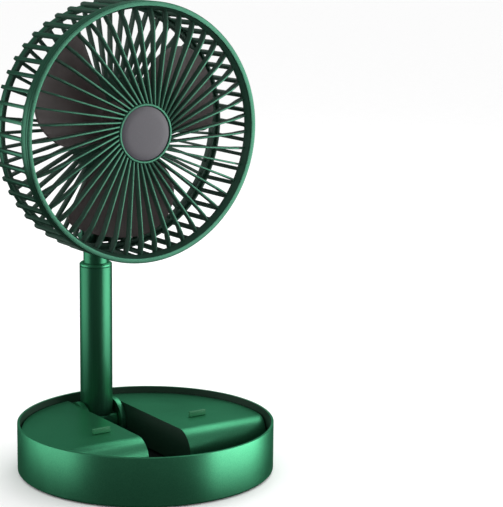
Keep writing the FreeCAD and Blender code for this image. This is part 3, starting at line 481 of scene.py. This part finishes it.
elastomer, tree = material("dark_green_elastomer_moulded")
place = add(tree, "TexCoord").outputs["Object"]
bloom = add(tree, "TexNoise", {"Vector": place, "Scale": 700.0, "Detail": 3.0})
tint = add(tree, "ValToRGB", {"Fac": bloom.outputs[0]})
tint.color_ramp.elements[0].color = linear("12603A")
tint.color_ramp.elements[1].color = linear("1A7548")
finish(tree, add(tree, "BsdfPrincipled", {
    "Base Color": tint.outputs[0], "Roughness": 0.6,
    "Normal": add(tree, "Bump", {"Height": bloom.outputs[0], "Strength": 0.1,
                                 "Distance": 0.0002}).outputs[0]}))
for side, x, y in (("left", -37.5, -0.4), ("right", 46.6, 1.8)):
    pad = soften(slab((x - 7.2, y, 32.17), (x + 7.2, y + 2, 36.2)), 0.4)
    piece("pad_" + side, pad, "base", [elastomer], [side + "_rest_pad"])

# ---- Under the decks ------------------------------------------------------------------------------
# Four lithium cells lie in black cradles beside the slot. A small board at the back carries the
# charging socket, and a tact switch on a bracket of its own sits behind the button.

# Heat-shrink sleeve: PVC film with soft wrinkles about 6 mm apart over a bright can.
sleeve, tree = material("blue_pvc_shrink_sleeve")
place = add(tree, "TexCoord").outputs["Object"]
wrinkle = add(tree, "TexNoise", {"Vector": place, "Scale": 160.0, "Detail": 2.0})
tint = add(tree, "ValToRGB", {"Fac": wrinkle.outputs[0]})
tint.color_ramp.elements[0].color = linear("1E4C7C")
tint.color_ramp.elements[1].color = linear("2B6AA6")
finish(tree, add(tree, "BsdfPrincipled", {
    "Base Color": tint.outputs[0], "Roughness": 0.25,
    "Normal": add(tree, "Bump", {"Height": wrinkle.outputs[0], "Strength": 0.3,
                                 "Distance": 0.0005}).outputs[0]}))
refinish(sleeve, "battery_cells")

# Solder resist over 1.2 mm copper tracks, drawn as a brick pattern.
resist, tree = material("green_solder_resist_on_fibreglass")
place = add(tree, "TexCoord").outputs["Object"]
tracks = add(tree, "TexBrick", {"Vector": place, "Color1": linear("0B5A2E"),
                                "Color2": linear("0E6B36"), "Mortar": linear("07401F"),
                                "Scale": 300.0})
finish(tree, add(tree, "BsdfPrincipled", {"Base Color": tracks.outputs[0], "Roughness": 0.3}))
refinish(resist, "control_board")
refinish(black_abs, "battery_holders", "tact_switch", "switch_bracket")
refinish(zinc, "usb_socket")

# ---- Button and lamps -----------------------------------------------------------------------------
# The power button is a lacquered ABS cap with a dished face, a collar that stops it from falling
# out and a stem that presses the switch. Beside it are four frosted lamp windows.

button = soften(turned([(0, 94.9), (3.6, 95.1), (5.3, 95.6), (5.3, 92.4), (6.4, 92.4), (6.4, 91.5),
                        (5.3, 91.5), (5.3, 90), (2, 90), (2, 83.5), (0, 83.5)], 64), 0.3, 40)
piece("button_cap", in_wall(button, -65), "button", [lacquer], ["power_button"])

# Frosted polycarbonate: milky, with a blasted face of 0.2 mm grain.
frosted, tree = material("frosted_polycarbonate")
place = add(tree, "TexCoord").outputs["Object"]
frost = add(tree, "TexNoise", {"Vector": place, "Scale": 4000.0, "Detail": 2.0})
tint = add(tree, "ValToRGB", {"Fac": frost.outputs[0]})
tint.color_ramp.elements[0].color = linear("C9D2CD")
tint.color_ramp.elements[1].color = linear("E4EAE6")
finish(tree, add(tree, "BsdfPrincipled", {"Base Color": tint.outputs[0], "Roughness": 0.5,
                                          "Transmission Weight": 0.3, "IOR": 1.58}))
lenses = [in_wall(move(soften(bar(0.95, 91.8, 94.65, 24), 0.25, 40, 2), 5 * i - 7.5), -50)
          for i in range(4)]
piece("lamp_windows", together(*lenses), "base", [frosted], ["indicator_lenses"])

# ---- Hinge at the foot of the pole ----------------------------------------------------------------
# Two round-topped cheeks of lacquered ABS stand on the floor and carry a steel pin. The pole's
# knuckle turns between them on friction washers, tight enough to stay where it is put.

ears = [soften(from_cad(side + "_hinge_ear"), 0.5, 40) for side in ("left", "right")]
piece("hinge_cheeks", together(*ears), "base", [lacquer],
      ["left_hinge_ear", "right_hinge_ear"])
refinish(zinc, "base_hinge_pin", "base_hinge_nut", "base_friction_washers")
piece("knuckle", soften(from_cad("pole_knuckle"), 0.4, 40), "outer_stage",
      [lacquer], ["pole_knuckle"])

# ---- Telescopic pole ------------------------------------------------------------------------------
# Four drawn aluminium tubes slide in one another. Each is lacquered in a darker copy of the base's
# lacquer, which is painted shade, and has a turned end collar that guides the next one. Natural acetal
# glides inside keep them from rattling.

# The base's lacquer over drawn tube, darkened as painted shade; its draw lines of 0.6 mm run up it
# under the coat.
tube_coat_shaded, tree = material("green_metallic_lacquer_on_drawn_aluminium_shaded_copy")
place = add(tree, "TexCoord").outputs["Object"]
long_way = add(tree, "Mapping", {"Vector": place, "Scale": (1650.0, 1650.0, 18.0)})
drawn = add(tree, "TexNoise", {"Vector": long_way.outputs[0], "Scale": 1.0, "Detail": 2.0})
tint = add(tree, "ValToRGB", {"Fac": drawn.outputs[0]})
tint.color_ramp.elements[0].position = 0.3
tint.color_ramp.elements[0].color = linear("316D50")
tint.color_ramp.elements[1].position = 0.7
tint.color_ramp.elements[1].color = linear("397859")
finish(tree, add(tree, "BsdfPrincipled", {
    "Base Color": tint.outputs[0], "Metallic": 0.97, "Specular Tint": linear("B3E9CE"),
    "Roughness": add(tree, "MapRange", {"Value": drawn.outputs[0], "From Min": 0.3,
                                        "From Max": 0.7, "To Min": 0.38,
                                        "To Max": 0.44}).outputs[0],
    "Normal": add(tree, "Bump", {"Height": drawn.outputs[0], "Strength": 0.04,
                                 "Distance": 0.0002}).outputs[0]}))

# Acetal, turned: milky white with tool rings.
acetal, tree = material("natural_acetal_turned")
place = add(tree, "TexCoord").outputs["Object"]
rings = add(tree, "TexNoise", {"Vector": add(tree, "Mapping", {
    "Vector": place, "Scale": (20.0, 20.0, 3000.0)}).outputs[0], "Scale": 1.0})
tint = add(tree, "ValToRGB", {"Fac": rings.outputs[0]})
tint.color_ramp.elements[0].color = linear("D8D6CF")
tint.color_ramp.elements[1].color = linear("EAE8E2")
finish(tree, add(tree, "BsdfPrincipled", {"Base Color": tint.outputs[0], "Roughness": 0.45,
                                          "Subsurface Weight": 0.1}))
refinish(acetal, "second_glide", "third_glide", "top_glide")

POLE_BACK = 76
# Word, body, outer radius, wall, foot, top of the tube, top of the collar, collar's bore.
STAGES = (
    ("outer", "outer_stage", 12.5, 1.5, 24, 140.6, 143.4, 9.55),
    ("second", "second_stage", 9.5, 1.2, 33, 153.4, 155.4, 7.25),
    ("third", "third_stage", 7.2, 1, 35, 156.4, 158, 5.25),
)
for word, body, r, wall, foot, top, cap_top, bore in STAGES:
    drawn_tube = turned([(r - wall, foot), (r, foot), (r, top), (r - wall, top)], 96)
    piece("tube_" + word, move(soften(drawn_tube, 0.28), y=POLE_BACK), body, [tube_coat_shaded],
          [word + "_tube"])
    ring = turned([(bore, top - 11), (r - wall - 0.03, top - 11), (r - wall - 0.03, top + 0.05),
                   (r, top + 0.05), (r, cap_top - 0.9), (r - 0.9, cap_top), (bore, cap_top)], 96)
    piece("collar_" + word, move(soften(ring, 0.25, 35), y=POLE_BACK), body, [lacquer],
          [word + "_collar"])
inner_tube = soften(turned([(4.2, 37), (5.2, 37), (5.2, 164), (4.2, 164)], 64), 0.25)
piece("tube_top", move(inner_tube, y=POLE_BACK), "top_stage", [tube_coat_shaded],
      ["top_tube"])

# ---- Head hinge -----------------------------------------------------------------------------------
# A knuckle of lacquered ABS is pressed on the last tube. It turns with friction washers on a steel
# bolt between the two lugs of a bracket, which four screws hold to the back of the cage.

piece("knuckle_top", soften(from_cad("top_knuckle"), 0.5, 40), "top_stage",
      [lacquer], ["top_knuckle"])
refinish(zinc, "head_hinge_pin", "head_hinge_nut", "head_friction_washers", "bracket_screws")
# The head's mouldings get a darker, greyer copy of the lacquer, which is painted shade, and a paler
# painted shade on their sides and hollows.
head_lacquer_shaded = sprayed("green_metallic_lacquer_shaded_copy", "345E4B", "3C6855", "CBEEDD")
head_painted_shade = painted_shade_finish("grey_green_painted_shade", "1E3A2E", "2A4A3C")
piece("bracket", soften(from_cad("head_bracket"), 0.5, 40), "head", [head_lacquer_shaded],
      ["head_bracket"])

# ---- Front grille ---------------------------------------------------------------------------------
# One ABS moulding: a rim, a hub ring and 45 thin vanes between them. Each vane misses the middle by
# 8 mm, so the grille looks swirled. Its front is lacquered; the sides, the rounded edges and the rim's
# inside carry painted shade.


def plate(outline, thick, across):
    """A plate of a given thickness in a plane at y = across; its corners are x and z."""
    mesh = bmesh.new()
    face = mesh.faces.new([mesh.verts.new((x, across - thick / 2, z)) for x, z in outline])
    pushed = bmesh.ops.extrude_face_region(mesh, geom=[face])["geom"]
    bmesh.ops.translate(mesh, vec=(0, thick, 0),
                        verts=[v for v in pushed if isinstance(v, bmesh.types.BMVert)])
    bmesh.ops.recalc_face_normals(mesh, faces=mesh.faces)
    return mesh


HEAD_UP = 250.4


def in_head(mesh):
    """Stands a shape up in the head: its Z axis points out of the front, where the air goes."""
    return move(swing(mesh, 90, "X"), z=HEAD_UP)


vane = plate([(18.6, -5.8), (18.6, -0.5), (60, -0.5), (76, -0.5), (82, -1.3), (87, -3.2),
              (90.6, -6), (90.6, -9.65), (84, -8.6), (77, -6)], 1.5, -8.3)
# Painted shade on the vanes' sides and rounded edges; only the flat front strip keeps the lacquer.
vane = paint(soften(vane, 0.35, 50, 2), lambda f: f.normal.z < 0.95)
rim = soften(turned([(89.6, -7.5), (91.15, -7.5), (91.15, -3), (95, -3), (95, 0), (91.2, 0),
                     (91.2, -0.6), (89.6, -5.5)], 192), 0.5, 40, 4)
# Painted shade on the rim's inside.
paint(rim, lambda f: f.calc_center_median().xy.length < 91.15 and f.normal.z < 0.5)
hub_ring = soften(turned([(20, -6), (21.8, -6), (21.8, 0), (20, 0)], 96), 0.35)
# Painted shade on the hub ring's sides.
paint(hub_ring, lambda f: f.normal.z < 0.2)
VANES = 45
grille = together(swing(around(vane, VANES), 2.6), rim, hub_ring)
piece("grille_front", in_head(grille), "head", [head_lacquer_shaded, head_painted_shade],
      ["front_grille"])

# The cap in its middle is a disc of dark grey ABS, satin, slightly domed. Its mould was turned,
# which leaves fine rings 0.5 mm apart.
satin_grey, tree = material("dark_grey_abs_satin")
place = add(tree, "TexCoord").outputs["Object"]
offset = add(tree, "Mapping", {"Vector": place, "Location": (0.0, 0.0, -HEAD_UP / 1000)})
turning = add(tree, "TexWave", {"Vector": offset.outputs[0], "Scale": 320.0, "Distortion": 0.6,
                                "Detail": 1.0}, wave_type="RINGS", rings_direction="Y")
speck = add(tree, "TexNoise", {"Vector": place, "Scale": 1500.0, "Detail": 2.0})
tint = add(tree, "ValToRGB", {"Fac": speck.outputs[0]})
tint.color_ramp.elements[0].color = linear("2E2B33")
tint.color_ramp.elements[1].color = linear("3A3740")
finish(tree, add(tree, "BsdfPrincipled", {
    "Base Color": tint.outputs[0], "Roughness": 0.42, "Specular IOR Level": 0.6,
    "Normal": add(tree, "Bump", {"Height": turning.outputs[0], "Strength": 0.06,
                                 "Distance": 0.0002}).outputs[0]}))
disc = soften(turned([(0, -2.2), (19.9, -2.2), (19.9, -0.6), (14, -0.4), (7, -0.32), (0, -0.3)],
                     96), 0.4, 40)
piece("grille_cap", in_head(disc), "head", [satin_grey], ["front_cap"])

# ---- Side cage ------------------------------------------------------------------------------------
# The cage's wall: a band behind the grille's rim, 52 ribs that run back from it and turn in at the
# back, and a ring that ties them. Moulded in one piece of ABS and lacquered; the ribs' sides and the
# inward faces carry painted shade.

band = soften(turned([(91.2, -9.95), (95, -9.95), (95, -3.05), (91.2, -3.05)], 192), 0.35)
rib = plate([(91.7, -9), (95, -9), (95, -52.3), (94.3, -54), (92.8, -54.9), (90.05, -54.9),
             (90.05, -49.6), (91.7, -49.6)], 2.7, 0)
rib = soften(rib, 0.4, 50, 2)
# Each slot's corners at the band are rounded, which leaves a small web on both sides of a rib.
web = bmesh.new()
corner = [(91.7, 1.2, -9.8), (91.7, 2.75, -9.8), (91.7, 1.95, -10.15), (91.7, 1.55, -10.6),
          (91.7, 1.35, -11.5), (91.7, 1.2, -11.5)]
face = web.faces.new([web.verts.new(c) for c in corner])
pushed = bmesh.ops.extrude_face_region(web, geom=[face])["geom"]
bmesh.ops.translate(web, vec=(3.2, 0, 0),
                    verts=[v for v in pushed if isinstance(v, bmesh.types.BMVert)])
bmesh.ops.mirror(web, geom=web.verts[:] + web.edges[:] + web.faces[:], axis="Y", merge_dist=-1)
bmesh.ops.recalc_face_normals(web, faces=web.faces)
ring = soften(turned([(90.05, -52.5), (92.05, -52.5), (93.05, -51.5), (93.05, -45.5),
                      (91.45, -45.5), (91.45, -49.5), (90.05, -49.5)], 192), 0.3)
RIBS = 52
cage = together(band, around(rib, RIBS), around(web, RIBS), ring)
# Painted shade on the ribs' sides and on the faces that look inwards.
paint(cage, lambda f: f.normal.xy.dot(f.calc_center_median().xy.normalized()) < 0.4
      and f.normal.z > -0.4)
piece("cage_side", in_head(cage), "head", [head_lacquer_shaded, head_painted_shade], ["side_cage"])

# ---- Rear grille ----------------------------------------------------------------------------------
# A flat ABS moulding closes the cage at the back: a rim that drops in behind the side cage's ring,
# 52 spokes and the plate that the motor is screwed to, with a round cap pressed over the screws.

rear = soften(from_cad("rear_grille"), 0.25, 50, 2)
# Painted shade on every face that doesn't look out of the back.
paint(rear, lambda f: f.normal.y < 0.4)
piece("grille_rear", rear, "head", [head_lacquer_shaded, head_painted_shade], ["rear_grille"])
cap = soften(turned([(0, -56.4), (30, -56.4), (32.4, -55.4), (32.4, -53), (31, -53), (31, -54.3),
                     (0, -54.3)], 96), 0.5, 30)
piece("cap_rear", in_head(cap), "head", [head_lacquer_shaded], ["rear_cap"])

# ---- Motor ----------------------------------------------------------------------------------------
# An outrunner: a black housing holds the wound stator and two bearings. The magnets sit in the
# rotor's hub, and the shaft turns in the bearings.

# Enamelled copper wire of 0.4 mm on steel laminations of 0.5 mm.
windings, tree = material("copper_windings_on_laminations")
place = add(tree, "TexCoord").outputs["Object"]
strands = add(tree, "TexWave", {"Vector": place, "Scale": 380.0, "Distortion": 1.0},
              bands_direction="Y")
tint = add(tree, "ValToRGB", {"Fac": strands.outputs[0]})
tint.color_ramp.elements[0].color = linear("5A2C18")
tint.color_ramp.elements[1].color = linear("B36A3C")
finish(tree, add(tree, "BsdfPrincipled", {"Base Color": tint.outputs[0], "Metallic": 0.9,
                                          "Roughness": 0.35}))
refinish(windings, "motor_stator")

# Sintered ferrite: nearly black, with a ground face of 0.3 mm grain.
ferrite, tree = material("sintered_ferrite_ground")
place = add(tree, "TexCoord").outputs["Object"]
grit = add(tree, "TexNoise", {"Vector": place, "Scale": 3000.0, "Detail": 2.0})
tint = add(tree, "ValToRGB", {"Fac": grit.outputs[0]})
tint.color_ramp.elements[0].color = linear("1C1C1E")
tint.color_ramp.elements[1].color = linear("333336")
finish(tree, add(tree, "BsdfPrincipled", {"Base Color": tint.outputs[0], "Metallic": 0.6,
                                          "Roughness": 0.5}))
refinish(ferrite, "rotor_magnets")
refinish(black_abs, "motor_housing", "rotor_nut")
refinish(zinc, "motor_screws", "motor_bearings", "motor_shaft")

# ---- Rotor ----------------------------------------------------------------------------------------
# The hub and its three blades are one moulding of dark grey-brown polypropylene. Each blade is a wide,
# slightly cambered sheet, set deeper at the edge that meets the air, with a broad round shoulder.

# Moulded polypropylene: semi-gloss and a little waxy, with faint flow marks 12 mm apart.
blade_pp, tree = material("dark_grey_brown_polypropylene")
place = add(tree, "TexCoord").outputs["Object"]
flow = add(tree, "TexNoise", {"Vector": place, "Scale": 80.0, "Detail": 3.0, "Distortion": 0.8})
fine = add(tree, "TexNoise", {"Vector": place, "Scale": 1800.0, "Detail": 2.0})
tint = add(tree, "ValToRGB", {"Fac": flow.outputs[0]})
tint.color_ramp.elements[0].position = 0.3
tint.color_ramp.elements[0].color = linear("3A3231")
tint.color_ramp.elements[1].position = 0.7
tint.color_ramp.elements[1].color = linear("433B3A")
finish(tree, add(tree, "BsdfPrincipled", {
    "Base Color": tint.outputs[0], "Roughness": 0.42,
    "Normal": add(tree, "Bump", {"Height": fine.outputs[0], "Strength": 0.05,
                                 "Distance": 0.0002}).outputs[0]}))

BLADES = 3
TIP = 80.5
ROOT = 19.6
HALF_SPAN = 39


def edge_angle(r, round_by):
    """How far round a blade's edge lies at a radius, if its corner at the tip has a rounding."""
    centre = TIP - round_by
    tangent = math.sqrt(centre ** 2 - round_by ** 2)
    if r <= tangent:
        return HALF_SPAN
    across = (r * r + centre * centre - round_by * round_by) / (2 * r * centre)
    return HALF_SPAN - math.degrees(math.asin(round_by / centre) - math.acos(min(1, across)))


blades = []
for k in range(BLADES):
    blade = bmesh.new()
    bmesh.ops.create_grid(blade, x_segments=28, y_segments=26, size=1)
    for v in blade.verts:
        r = ROOT + (TIP - ROOT) * math.sin((v.co.y + 1) * math.pi / 4)
        low, high = -edge_angle(r, 8), edge_angle(r, 30)
        a = low + (high - low) * (v.co.x + 1) / 2
        rise = 22 * (a + 40) / 80 + 1.2 * math.sin(math.radians(2.25 * (a + 40)))
        turn = math.radians(34 + 360 / BLADES * k + a)
        v.co = (r * math.cos(turn), r * math.sin(turn), -39.7 + rise)
    bmesh.ops.solidify(blade, geom=blade.faces[:], thickness=1.7)
    bmesh.ops.recalc_face_normals(blade, faces=blade.faces)
    blades.append(soften(blade, 0.5, 60, 2))
hub = soften(turned([(1.52, -13), (20.8, -13), (21, -15), (21, -41), (19.3, -41), (19.3, -16),
                     (3.6, -16), (3.6, -18.4), (1.52, -18.4)], 96), 0.5, 40)
piece("fan_rotor", in_head(together(hub, *blades)), "rotor", [blade_pp], ["rotor"],
      sharp=50)

# ---- Bounds of the finished scene -----------------------------------------------------------------
low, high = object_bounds()
